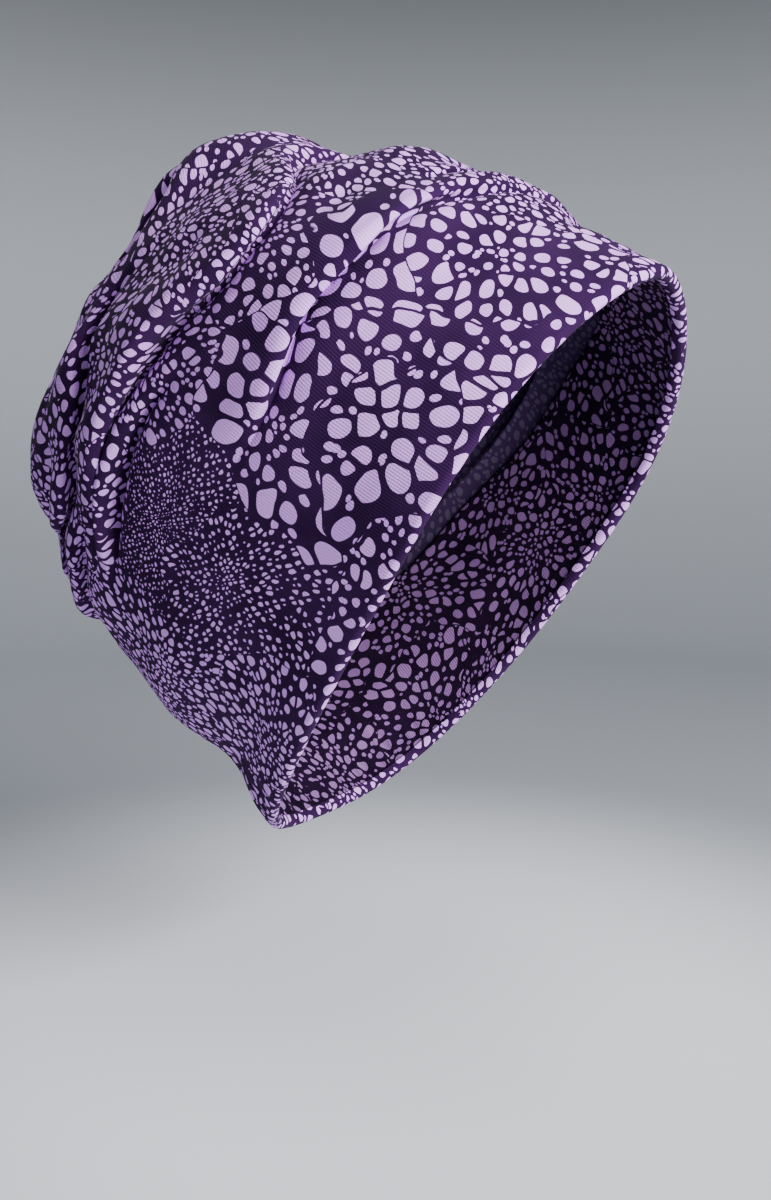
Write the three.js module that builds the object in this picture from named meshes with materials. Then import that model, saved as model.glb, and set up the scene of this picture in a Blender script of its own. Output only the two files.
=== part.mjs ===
// Soft jersey chemo cap, worn pushed back so that its spare length bunches in ring folds.
// Millimetres, +Z up, front towards -Y, the wearer's left towards +X.
// The origin is the highest point of the head inside the cap.
import * as THREE from 'three';

// Main form
const OPENING_LENGTH = 250; // rim from brow to nape, along its slope
const CAP_WIDTH = 174; // widest ring, over the ears
const OPENING_FORWARD = 26; // middle of the opening, ahead of the origin
const OPENING_DROP = 120; // middle of the opening, below the origin
const SLOUCH_BACK = 136; // from the middle of the opening back to the closed end
const SLOUCH_UP = 98; // from the middle of the opening up to the closed end
const EAR_BOW = 9.7; // how far the rim bows down and forward over the ears

// Cloth
const CLOTH_WALL = 1.8; // outer cloth
const FACING_WALL = 1.2; // turned-in band
const FACING_DEPTH = 44; // turned-in band, from the rim inwards
const HEM_ROLL = 4.8; // thickness of the rolled rim edge
const HEM_SHOULDER = 1.6; // height of the roll's inner lip above the rim line
const LIP_SLANT = 0.6; // how far up the lip the roll's inner side reaches
const LAYER_GAP = 0.3; // clearance between the outer cloth and the band

// Folds and gathers
const FOLD_HEIGHT = 6; // crest to valley of a fold of strength 1
const PINCH_DEPTH = 2.6; // dent where the nape is drawn in
const GATHER_DEPTH = 2.4; // gathers at the closed end
const GATHERS = 9;

// Fineness of the surface
const COLUMNS = 54;
const ROLL_STEPS = 4;
const FACING_STEPS = 5;
const PROBE_ALONG = 0.004; // steps used to feel the plain form's directions
const PROBE_AROUND = 1;

const COLOURS = { shell: 0x5b3f78, facing: 0x3d2a55 };
const CLOTH_ROUGHNESS = 0.92;

const SLOUCH = Math.hypot(SLOUCH_BACK, SLOUCH_UP);
const facingShare = FACING_DEPTH / SLOUCH;

// Rings of the cap, from the rim (along 0) to the closed end (along 1).
// back and up are shares of the slouch, length and width are shares of half the
// opening's length and half the cap's width. slope is in degrees from level, round is
// the power of the oval, taper widens the ring towards the brow, and square fills out
// its nape end.
const RING_COLUMNS = ['along', 'back', 'up', 'slope', 'length', 'width', 'round', 'taper', 'square'];
const RINGS = [
  [0.00, 0.000, 0.000, 55.3, 1.002, 0.867, 2.29, 0.19, 0.58],
  [0.10, 0.102, 0.114, 51.1, 0.982, 0.897, 2.12, 0.16, 0.28],
  [0.24, 0.279, 0.255, 47.1, 0.986, 0.954, 2.15, 0.10, 0.20],
  [0.42, 0.499, 0.498, 44.5, 0.958, 1.000, 2.20, 0.06, 0.10],
  [0.60, 0.693, 0.708, 45.5, 0.860, 0.977, 2.20, 0.03, 0.00],
  [0.75, 0.872, 0.840, 48.0, 0.734, 0.851, 2.15, 0.00, 0.00],
  [0.87, 0.947, 0.985, 50.5, 0.585, 0.655, 2.10, 0.00, 0.00],
  [0.95, 0.988, 1.025, 49.0, 0.365, 0.395, 2.00, 0.00, 0.00],
  [1.00, 0.998, 1.015, 48.0, 0.045, 0.060, 2.00, 0.00, 0.00],
];

// Ring folds, ordered from the rim to the closed end. Each row is the valley of one fold:
// around is the angle from the brow, positive over the wearer's right side and 180 at the
// nape, along is the share of the way from the rim to the closed end, and strength is the
// fold's height as a share of FOLD_HEIGHT.
const VALLEY_COLUMNS = ['around', 'along', 'strength'];
const FOLDS = [
  { name: 'brow', valley: [
    [-150, 0.315, 0.0], [-110, 0.310, 0.1], [-80, 0.305, 0.5], [-50, 0.340, 0.9], [-20, 0.372, 0.8],
    [0, 0.385, 0.6], [17, 0.387, 0.6], [30, 0.395, 0.8], [45, 0.377, 1.1], [60, 0.355, 1.1],
    [70, 0.312, 0.8], [80, 0.292, 0.3], [92, 0.300, 0.0], [120, 0.310, 0.0], [150, 0.315, 0.0] ] },
  { name: 'temple', valley: [
    [-150, 0.360, 0.0], [-120, 0.370, 0.4], [-90, 0.395, 0.7], [-60, 0.420, 0.3], [-30, 0.447, 0.3],
    [0, 0.463, 0.9], [12, 0.466, 0.8], [30, 0.455, 0.0], [60, 0.430, 0.0], [80, 0.455, 0.1],
    [90, 0.466, 0.6], [96, 0.442, 0.9], [102, 0.413, 0.9], [110, 0.376, 0.7], [117, 0.357, 0.2],
    [130, 0.356, 0.0], [160, 0.358, 0.0] ] },
  { name: 'main', valley: [
    [-150, 0.400, 0.0], [-120, 0.430, 0.6], [-95, 0.480, 1.2], [-70, 0.520, 1.3], [-45, 0.575, 0.9],
    [-20, 0.670, 0.6], [0, 0.715, 0.9], [14, 0.712, 0.9], [28, 0.670, 0.4], [39, 0.585, 0.5],
    [52, 0.528, 0.8], [64, 0.508, 1.0], [77, 0.527, 1.7], [85, 0.518, 1.8], [93, 0.505, 1.7],
    [100, 0.485, 1.4], [108, 0.445, 0.9], [116, 0.418, 0.3], [130, 0.400, 0.0], [160, 0.397, 0.0] ] },
  { name: 'nape', valley: [
    [-150, 0.440, 0.4], [-130, 0.458, 0.6], [-110, 0.500, 0.3], [-85, 0.560, 0.0], [-55, 0.630, 0.0],
    [-25, 0.705, 0.0], [0, 0.745, 0.0], [25, 0.715, 0.0], [45, 0.620, 0.0], [62, 0.580, 0.0],
    [80, 0.570, 0.0], [100, 0.530, 0.0], [112, 0.475, 0.2], [122, 0.452, 0.8], [134, 0.422, 0.8],
    [146, 0.415, 0.6], [160, 0.418, 0.2] ] },
  { name: 'side', valley: [
    [-150, 0.500, 0.5], [-125, 0.525, 0.9], [-100, 0.600, 1.0], [-80, 0.675, 0.8], [-55, 0.715, 0.4],
    [-25, 0.755, 0.1], [0, 0.780, 0.0], [30, 0.752, 0.0], [60, 0.710, 0.1], [72, 0.725, 0.4],
    [79, 0.728, 0.8], [86, 0.705, 1.2], [92, 0.655, 1.2], [98, 0.612, 1.1], [107, 0.548, 1.1],
    [113, 0.520, 1.3], [119, 0.515, 1.6], [126, 0.535, 1.9], [136, 0.530, 1.5], [152, 0.508, 0.8],
    [175, 0.490, 0.4] ] },
  { name: 'crown', valley: [
    [-150, 0.620, 0.3], [-120, 0.665, 0.5], [-90, 0.760, 0.4], [-60, 0.825, 0.3], [-30, 0.860, 0.1],
    [0, 0.868, 0.0], [30, 0.868, 0.2], [48, 0.856, 0.5], [60, 0.843, 0.6], [75, 0.812, 0.4],
    [90, 0.765, 0.1], [110, 0.665, 0.0], [128, 0.635, 0.2], [150, 0.610, 0.4], [175, 0.605, 0.4] ] },
];

// Broad swells and hollows of the cloth: a hump each, whose height is a share of
// FOLD_HEIGHT, less than 0 for a hollow, and whose reaches are its half-lengths.
const SWELL_COLUMNS = ['name', 'along', 'around', 'reachAlong', 'reachAround', 'height'];
const SWELLS = [
  ['crown lobe', 0.858, 33, 0.068, 27, 1.05],
  ['far crown lobe', 0.800, -48, 0.080, 36, 0.80],
  ['top hollow', 0.645, 16, 0.070, 17, -0.70],
  ['fore hollow', 0.470, 6, 0.035, 16, -0.45],
  ['brow swell', 0.315, -4, 0.040, 22, 0.40],
  ['side hollow', 0.765, 82, 0.045, 16, -0.50],
  ['back swell', 0.690, 118, 0.070, 22, 0.25],
  ['nape hollow', 0.330, 140, 0.060, 24, -0.35],
  ['nape swell', 0.200, 146, 0.050, 24, 0.30],
];

const BAND_STEPS = [0, 0.1, 0.28, 0.55, 0.82]; // rows of the surface between two valleys
const FRONT_STEPS = [0.4, 0.75, 0.93]; // rows between the band's edge and the first valley
const PUFF_LEAN = 0.55; // below 1, a fold's crest leans towards the rim
const VALLEY_LIP = 7; // power of the smooth cloth's drop into the first valley
const PINCH = { along: 0.088, reach: 0.045, from: 118, to: 150 };
const GATHER_START = 0.88; // gathers swell from here to their peak and die at the end
const GATHER_PEAK = 0.955;
const HEM_SHARE = 0.05; // stretch at the rim over which folds and dents fade in

// Smooth curve through a table's rows: a cubic with slopes taken from its neighbours.
function curveThrough(xs, ys, x) {
  const last = xs.length - 1;
  let i = 0;
  while (i < last - 1 && x > xs[i + 1]) i += 1;
  const secant = (k) => (ys[k + 1] - ys[k]) / (xs[k + 1] - xs[k]);
  const slope = (k) => {
    if (k === 0) return secant(0);
    if (k === last) return secant(last - 1);
    const before = xs[k] - xs[k - 1];
    const after = xs[k + 1] - xs[k];
    return (secant(k - 1) * after + secant(k) * before) / (before + after);
  };
  const step = xs[i + 1] - xs[i];
  const t = THREE.MathUtils.clamp((x - xs[i]) / step, 0, 1);
  const stay = 2 * t ** 3 - 3 * t ** 2 + 1;
  const leave = (t ** 3 - 2 * t ** 2 + t) * step;
  const arrive = (t ** 3 - t ** 2) * step;
  return stay * ys[i] + leave * slope(i) + (1 - stay) * ys[i + 1] + arrive * slope(i + 1);
}

// One column of the ring table at a share of the way along.
function ringValue(key, along) {
  const column = RING_COLUMNS.indexOf(key);
  return curveThrough(RINGS.map((ring) => ring[0]), RINGS.map((ring) => ring[column]), along);
}

// One column of a fold's table at an angle, as a closed curve around the cap.
function valleyValue(fold, key, around) {
  const column = VALLEY_COLUMNS.indexOf(key);
  const turns = [-360, 0, 360];
  const angles = turns.flatMap((turn) => fold.valley.map((row) => row[0] + turn));
  const values = turns.flatMap(() => fold.valley.map((row) => row[column]));
  const value = curveThrough(angles, values, around);
  return key === 'strength' ? Math.max(0, value) : value;
}

function smoothStep(from, to, value) {
  return THREE.MathUtils.smoothstep(value, from, to);
}

// The cap's form without folds. The ring is an oval with its own power front and back.
function plainForm(along, around) {
  const angle = THREE.MathUtils.degToRad(around);
  const front = Math.cos(angle);
  const side = -Math.sin(angle);
  const slope = THREE.MathUtils.degToRad(ringValue('slope', along));
  const power = 2 / (ringValue('round', along) - ringValue('square', along) * front);
  const reach = (value) => Math.sign(value) * Math.abs(value) ** power;
  const halfLength = 0.5 * OPENING_LENGTH * ringValue('length', along);
  const halfWidth = 0.5 * CAP_WIDTH * ringValue('width', along);
  const run = halfLength * reach(front);
  const bow = EAR_BOW * (1 - along) ** 4 * (1 - front ** 2);
  const middleY = SLOUCH_BACK * ringValue('back', along) - OPENING_FORWARD;
  const middleZ = SLOUCH_UP * ringValue('up', along) - OPENING_DROP;
  return new THREE.Vector3(
    halfWidth * reach(side) * (1 + ringValue('taper', along) * front),
    middleY - run * Math.cos(slope) - bow * Math.sin(slope),
    middleZ + run * Math.sin(slope) - bow * Math.cos(slope),
  );
}

// Outward and lengthwise directions of the plain form.
function directions(along, around) {
  const low = Math.max(0, along - PROBE_ALONG);
  const high = Math.min(1, along + PROBE_ALONG);
  const lengthwise = plainForm(high, around).sub(plainForm(low, around)).normalize();
  const ahead = plainForm(along, around + PROBE_AROUND);
  const crosswise = ahead.sub(plainForm(along, around - PROBE_AROUND)).normalize();
  const outward = new THREE.Vector3().crossVectors(lengthwise, crosswise).normalize();
  return { outward, lengthwise };
}

// Shape of the cloth between two valleys: 0 at both, 1 at a crest nearer to the rim.
function puff(share) {
  return Math.sin(Math.PI * share ** PUFF_LEAN);
}

// Height of all the swells at one place: each falls off as a bell from its middle.
function swell(along, around) {
  return SWELLS.reduce((sum, row) => {
    const value = (key) => row[SWELL_COLUMNS.indexOf(key)];
    const turn = THREE.MathUtils.euclideanModulo(around - value('around') + 180, 360) - 180;
    const lengthwise = (along - value('along')) / value('reachAlong');
    const distance = lengthwise ** 2 + (turn / value('reachAround')) ** 2;
    return sum + FOLD_HEIGHT * value('height') * Math.exp(-distance);
  }, 0);
}

// Height of the cloth over the plain form: folds, swells, the drawn-in nape and gathers.
function relief(along, around) {
  const valleys = FOLDS.map((fold) => valleyValue(fold, 'along', around));
  const depths = FOLDS.map((fold) => 0.5 * FOLD_HEIGHT * valleyValue(fold, 'strength', around));
  valleys.push(1);
  depths.push(0);
  let height;
  if (along < valleys[0]) {
    height = -depths[0] * (along / valleys[0]) ** VALLEY_LIP;
  } else {
    let band = 0;
    while (band < FOLDS.length - 1 && along > valleys[band + 1]) band += 1;
    const width = valleys[band + 1] - valleys[band];
    const share = THREE.MathUtils.clamp((along - valleys[band]) / width, 0, 1);
    const floor = -THREE.MathUtils.lerp(depths[band], depths[band + 1], share);
    height = floor + puff(share) * (depths[band] - floor);
  }
  const nape = smoothStep(PINCH.from, PINCH.to, Math.abs(around));
  const pinch = PINCH_DEPTH * nape * Math.exp(-(((along - PINCH.along) / PINCH.reach) ** 2));
  const ripple = Math.cos(THREE.MathUtils.degToRad(GATHERS * around));
  const gather = 0.5 * GATHER_DEPTH * ripple * smoothStep(GATHER_START, GATHER_PEAK, along)
    * (1 - smoothStep(GATHER_PEAK, 1, along));
  return (height + swell(along, around) - pinch) * smoothStep(0, HEM_SHARE, along) + gather;
}

// A point of the cloth at a depth under its outer face.
function clothPoint(along, around, depth) {
  const { outward } = directions(along, around);
  return plainForm(along, around).addScaledVector(outward, relief(along, around) - depth);
}

// Rows of the surface at one angle, as shares of the way along, from the band's first row.
function rowsAlong(around) {
  const valleys = FOLDS.map((fold) => valleyValue(fold, 'along', around));
  const rows = [];
  for (let step = 1; step <= FACING_STEPS; step += 1) rows.push((facingShare * step) / FACING_STEPS);
  for (const share of FRONT_STEPS) rows.push(THREE.MathUtils.lerp(facingShare, valleys[0], share));
  valleys.forEach((valley, band) => {
    const next = band + 1 < valleys.length ? valleys[band + 1] : 1;
    for (const share of BAND_STEPS) rows.push(THREE.MathUtils.lerp(valley, next, share));
  });
  rows.push(1);
  return rows;
}

// A point near the rim, given by its depth under the cloth's outer face and its height.
function rimPoint(around, depth, height) {
  const { outward, lengthwise } = directions(0, around);
  return plainForm(0, around).addScaledVector(outward, -depth).addScaledVector(lengthwise, height);
}

// One closed lengthwise line of the outer cloth: closed end, outside, rim roll, inside.
function shellLine(around) {
  const rows = rowsAlong(around);
  const outside = rows.map((along) => clothPoint(along, around, 0)).reverse();
  const radius = 0.5 * HEM_ROLL;
  const roll = [];
  for (let step = 0; step <= ROLL_STEPS; step += 1) {
    const turn = (Math.PI * step) / ROLL_STEPS;
    roll.push(rimPoint(around, radius * (1 - Math.cos(turn)), -radius * Math.sin(turn)));
  }
  const lip = [
    rimPoint(around, HEM_ROLL, LIP_SLANT * HEM_SHOULDER),
    rimPoint(around, CLOTH_WALL, HEM_SHOULDER),
  ];
  const inside = rows.map((along) => clothPoint(along, around, CLOTH_WALL));
  return [...outside, ...roll, ...lip, ...inside];
}

// One closed lengthwise loop of the turned-in band.
function facingLoop(around) {
  const face = CLOTH_WALL + LAYER_GAP;
  const back = face + FACING_WALL;
  const rows = rowsAlong(around).slice(0, FACING_STEPS);
  const foot = HEM_SHOULDER + LAYER_GAP;
  return [
    rimPoint(around, face, foot),
    ...rows.map((along) => clothPoint(along, around, face)),
    ...rows.map((along) => clothPoint(along, around, back)).reverse(),
    rimPoint(around, back, foot),
  ];
}

// Triangles between neighbouring lines around the cap. A loop also joins last to first.
function sweepAround(lines, isLoop) {
  const length = lines[0].length;
  const index = [];
  lines.forEach((line, column) => {
    const here = column * length;
    const next = ((column + 1) % lines.length) * length;
    const joins = isLoop ? length : length - 1;
    for (let row = 0; row < joins; row += 1) {
      const above = (row + 1) % length;
      index.push(here + row, next + row, here + above);
      index.push(next + row, next + above, here + above);
    }
  });
  return index;
}

function meshOf(name, points, index, colour) {
  const geometry = new THREE.BufferGeometry().setFromPoints(points);
  geometry.setIndex(index);
  geometry.computeVertexNormals();
  const finish = { color: colour, roughness: CLOTH_ROUGHNESS, metalness: 0 };
  const material = new THREE.MeshStandardMaterial(finish);
  const mesh = new THREE.Mesh(geometry, material);
  mesh.name = name;
  return mesh;
}

function angles() {
  return Array.from({ length: COLUMNS }, (_, column) => (360 * column) / COLUMNS - 180);
}

// The whole outer cloth. Each end of its lines is closed at a pole of the closed end.
function makeShell() {
  const lines = angles().map(shellLine);
  const length = lines[0].length;
  const points = lines.flat();
  const index = sweepAround(lines, false);
  const poles = [0, length - 1].map((row) => {
    const middle = lines.reduce((sum, line) => sum.add(line[row]), new THREE.Vector3());
    return points.push(middle.divideScalar(lines.length)) - 1;
  });
  lines.forEach((_, column) => {
    const here = column * length;
    const next = ((column + 1) % lines.length) * length;
    index.push(next, here, poles[0]);
    index.push(here + length - 1, next + length - 1, poles[1]);
  });
  return meshOf('crown_shell', points, index, COLOURS.shell);
}

// The turned-in band. Its outer face is split along the same diagonals as the cloth that
// it lies against, so that the flat triangles of the two never cross.
function makeFacing() {
  const lines = angles().map(facingLoop);
  const outwards = sweepAround(lines, true).reverse();
  return meshOf('rim_facing', lines.flat(), outwards, COLOURS.facing);
}

const group = new THREE.Group();
group.add(makeShell(), makeFacing());

export default group;
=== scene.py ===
"""Looks of a soft printed jersey cap, worn pushed back so that its slack bunches in folds.

Metres, +Z up, front towards -Y, the wearer's left towards +X. The origin is the highest
point of the head inside the cap.
"""

import logging
import math
from dataclasses import dataclass, field
from enum import Enum

import bpy
import numpy as np
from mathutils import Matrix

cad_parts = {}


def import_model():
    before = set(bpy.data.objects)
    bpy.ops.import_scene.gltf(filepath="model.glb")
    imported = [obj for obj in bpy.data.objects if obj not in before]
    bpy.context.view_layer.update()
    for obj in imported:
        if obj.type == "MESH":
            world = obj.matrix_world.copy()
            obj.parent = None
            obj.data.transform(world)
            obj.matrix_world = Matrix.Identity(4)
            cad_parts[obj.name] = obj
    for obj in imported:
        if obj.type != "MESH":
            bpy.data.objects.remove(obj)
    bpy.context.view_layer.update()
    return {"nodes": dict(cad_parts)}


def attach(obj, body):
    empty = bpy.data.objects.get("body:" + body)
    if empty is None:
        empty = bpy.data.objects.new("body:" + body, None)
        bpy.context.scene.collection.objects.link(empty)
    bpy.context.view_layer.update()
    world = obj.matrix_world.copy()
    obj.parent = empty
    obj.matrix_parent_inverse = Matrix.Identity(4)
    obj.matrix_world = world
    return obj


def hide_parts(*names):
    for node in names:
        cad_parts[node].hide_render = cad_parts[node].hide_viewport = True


LOG = logging.getLogger("cap")

# Rings of the cap, from the rim (along 0) to the closed end (along 1).
RING_COLUMNS = ("along", "back", "up", "slope", "length", "width", "round", "taper", "square")
RINGS = np.array([
    [0.00, 0.000, 0.000, 55.3, 1.002, 0.867, 2.29, 0.19, 0.58],
    [0.10, 0.102, 0.114, 51.1, 0.982, 0.897, 2.12, 0.16, 0.28],
    [0.24, 0.279, 0.255, 47.1, 0.986, 0.954, 2.15, 0.10, 0.20],
    [0.42, 0.499, 0.498, 44.5, 0.958, 1.000, 2.20, 0.06, 0.10],
    [0.60, 0.693, 0.708, 45.5, 0.860, 0.977, 2.20, 0.03, 0.00],
    [0.75, 0.872, 0.840, 48.0, 0.734, 0.851, 2.15, 0.00, 0.00],
    [0.87, 0.947, 0.985, 50.5, 0.585, 0.655, 2.10, 0.00, 0.00],
    [0.95, 0.988, 1.025, 49.0, 0.365, 0.395, 2.00, 0.00, 0.00],
    [1.00, 0.998, 1.015, 48.0, 0.045, 0.060, 2.00, 0.00, 0.00],
])

# Valleys of the ring folds, from the rim to the closed end: degrees around from the brow,
# share of the way along, and strength.
FOLDS = {
    "brow": np.array([
        [-150, 0.315, 0.0], [-110, 0.310, 0.1], [-80, 0.305, 0.5], [-50, 0.340, 0.9],
        [-20, 0.372, 0.7], [0, 0.385, 0.6], [17, 0.387, 0.8], [30, 0.395, 1.1],
        [45, 0.377, 1.4], [60, 0.355, 1.4], [70, 0.312, 1.0], [80, 0.292, 0.3],
        [92, 0.300, 0.0], [120, 0.310, 0.0], [150, 0.315, 0.0],
    ]),
    "temple": np.array([
        [-150, 0.360, 0.0], [-120, 0.370, 0.4], [-90, 0.395, 0.7], [-60, 0.420, 0.3],
        [-30, 0.447, 0.3], [0, 0.463, 0.7], [12, 0.466, 0.7], [30, 0.455, 0.0],
        [60, 0.430, 0.0], [80, 0.455, 0.2], [88, 0.469, 1.2], [96, 0.455, 2.0],
        [102, 0.437, 2.1], [110, 0.402, 1.7], [117, 0.372, 0.4], [130, 0.360, 0.0],
        [160, 0.358, 0.0],
    ]),
    "main": np.array([
        [-150, 0.400, 0.0], [-120, 0.430, 0.6], [-95, 0.480, 1.2], [-70, 0.520, 1.3],
        [-45, 0.575, 1.1], [-20, 0.670, 0.7], [0, 0.715, 0.7], [14, 0.712, 0.6],
        [28, 0.670, 0.8], [39, 0.585, 1.1], [52, 0.528, 1.4], [64, 0.508, 1.7],
        [77, 0.527, 2.2], [85, 0.518, 2.3], [93, 0.501, 2.1], [100, 0.476, 1.8],
        [108, 0.437, 1.1], [116, 0.411, 0.3], [130, 0.400, 0.0], [160, 0.397, 0.0],
    ]),
    "nape": np.array([
        [-150, 0.440, 0.4], [-130, 0.458, 0.6], [-110, 0.500, 0.3], [-85, 0.560, 0.0],
        [-55, 0.630, 0.0], [-25, 0.705, 0.0], [0, 0.745, 0.0], [25, 0.715, 0.0],
        [45, 0.620, 0.0], [62, 0.580, 0.0], [80, 0.570, 0.0], [100, 0.530, 0.0],
        [112, 0.475, 0.2], [122, 0.452, 0.8], [134, 0.422, 0.8], [146, 0.415, 0.6],
        [160, 0.418, 0.2],
    ]),
    "side": np.array([
        [-150, 0.500, 0.5], [-125, 0.525, 0.9], [-100, 0.600, 1.0], [-80, 0.675, 0.8],
        [-55, 0.715, 0.4], [-25, 0.755, 0.1], [0, 0.780, 0.0], [30, 0.752, 0.0],
        [60, 0.710, 0.1], [72, 0.725, 0.4], [79, 0.728, 0.8], [86, 0.705, 1.2],
        [92, 0.655, 1.2], [98, 0.612, 1.1], [107, 0.548, 1.1], [113, 0.520, 1.3],
        [119, 0.515, 1.6], [126, 0.535, 1.9], [136, 0.530, 1.5], [152, 0.508, 0.8],
        [175, 0.490, 0.4],
    ]),
    "crown": np.array([
        [-150, 0.620, 0.3], [-120, 0.665, 0.5], [-90, 0.760, 0.4], [-60, 0.825, 0.3],
        [-30, 0.860, 0.1], [0, 0.868, 0.0], [30, 0.868, 0.2], [48, 0.856, 0.5],
        [60, 0.843, 0.6], [75, 0.812, 0.4], [90, 0.765, 0.1], [110, 0.665, 0.0],
        [128, 0.635, 0.2], [150, 0.610, 0.4], [175, 0.605, 0.4],
    ]),
}

# Broad swells and hollows: share along, degrees around, their reaches, and the height as a
# share of a full fold.
SWELLS = {
    "crown lobe": (0.858, 31, 0.068, 26, 0.95),
    "far crown lobe": (0.800, -48, 0.080, 34, 0.70),
    "lobe notch": (0.770, -6, 0.055, 13, -0.80),
    "fore swell": (0.565, 9, 0.045, 15, 0.08),
    "top hollow": (0.660, 17, 0.060, 16, -0.45),
    "fore hollow": (0.513, -3, 0.034, 15, -0.80),
    "brow dip": (0.288, -8, 0.024, 10, -0.40),
    "crown shoulder": (0.862, 74, 0.050, 13, -0.62),
    "side hollow": (0.765, 82, 0.045, 16, -0.40),
    "back swell": (0.700, 116, 0.060, 18, 0.25),
    "back hollow": (0.590, 134, 0.036, 12, -1.10),
    "nape hollow": (0.330, 140, 0.060, 24, -0.35),
    "nape swell": (0.190, 150, 0.040, 20, 0.06),
}

# Short creases pressed into the cloth between the ring folds: where each starts and ends
# (share along, degrees around), its depth and half-width in metres.
CREASES = {
    "temple tuck": (0.285, 102, 0.270, 106, 0.0012, 0.0030),
    "nape pinch": (0.095, 148, 0.070, 125, 0.0012, 0.0045),
    "crown dart": (0.845, 58, 0.800, 70, 0.0016, 0.0040),
    "back dart": (0.580, 128, 0.640, 112, 0.0018, 0.0040),
    "high dart": (0.640, 60, 0.560, 78, 0.0016, 0.0045),
    "top dart": (0.560, 20, 0.520, 36, 0.0014, 0.0045),
    "fore dart": (0.420, 12, 0.400, -8, 0.0012, 0.0040),
    "side dart": (0.400, 88, 0.345, 96, 0.0010, 0.0040),
    "back notch": (0.852, 80, 0.822, 96, 0.0040, 0.0042),
    "lower notch": (0.640, 128, 0.640, 150, 0.0038, 0.0050),
    "crown notch": (0.848, 52, 0.842, 62, 0.0022, 0.0045),
    "top notch": (0.716, 8, 0.712, 20, 0.0022, 0.0050),
    "fore notch": (0.602, 18, 0.598, 26, 0.0018, 0.0045),
}

# Free edge of the rolled rim, inside: it runs up over the foot of the turned-in band and
# back down under it. Depth under the outer face and height above the rim, in metres.
HEM_FLAP = np.array([
    [0.00486, 0.0007], [0.00484, 0.0014], [0.00474, 0.0018], [0.00458, 0.0014],
    [0.00450, 0.0006], [0.00430, 0.0000], [0.00340, -0.0004], [0.00220, -0.0003],
    [0.00130, 0.0003],
])


def curve_through(xs: np.ndarray, ys: np.ndarray, x: np.ndarray) -> np.ndarray:
    """Smooth curve through a table: a cubic whose slopes come from neighbouring rows.

    Args:
        xs: Increasing places of the table's rows.
        ys: Values of the rows.
        x: Places to read.

    Returns:
        The values at x. Each step is a cubic that leaves and arrives with the weighted
        mean slope of the two steps that meet there.
    """
    last = len(xs) - 1
    steps = np.diff(xs)
    secants = np.diff(ys) / steps
    slopes = np.empty(len(xs))
    slopes[0] = secants[0]
    slopes[last] = secants[-1]
    meeting = secants[:-1] * steps[1:] + secants[1:] * steps[:-1]
    slopes[1:last] = meeting / (steps[:-1] + steps[1:])
    i = np.clip(np.searchsorted(xs, x, side="left") - 1, 0, last - 1)
    step = steps[i]
    t = np.clip((x - xs[i]) / step, 0, 1)
    stay = 2 * t**3 - 3 * t**2 + 1
    leave = (t**3 - 2 * t**2 + t) * step
    arrive = (t**3 - t**2) * step
    return stay * ys[i] + leave * slopes[i] + (1 - stay) * ys[i + 1] + arrive * slopes[i + 1]


def smooth_step(low: float, high: float, value: np.ndarray) -> np.ndarray:
    """Returns 0 below low, 1 above high, and a cubic with level ends between them."""
    t = np.clip((value - low) / (high - low), 0, 1)
    return t * t * (3 - 2 * t)


def unit(vectors: np.ndarray) -> np.ndarray:
    """Returns the vectors of the last axis at length 1."""
    return vectors / np.maximum(np.linalg.norm(vectors, axis=-1, keepdims=True), 1e-12)


def turn_between(a: np.ndarray, b: float) -> np.ndarray:
    """Returns the shorter turn from b to a, in degrees."""
    return (a - b + 180) % 360 - 180


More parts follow.
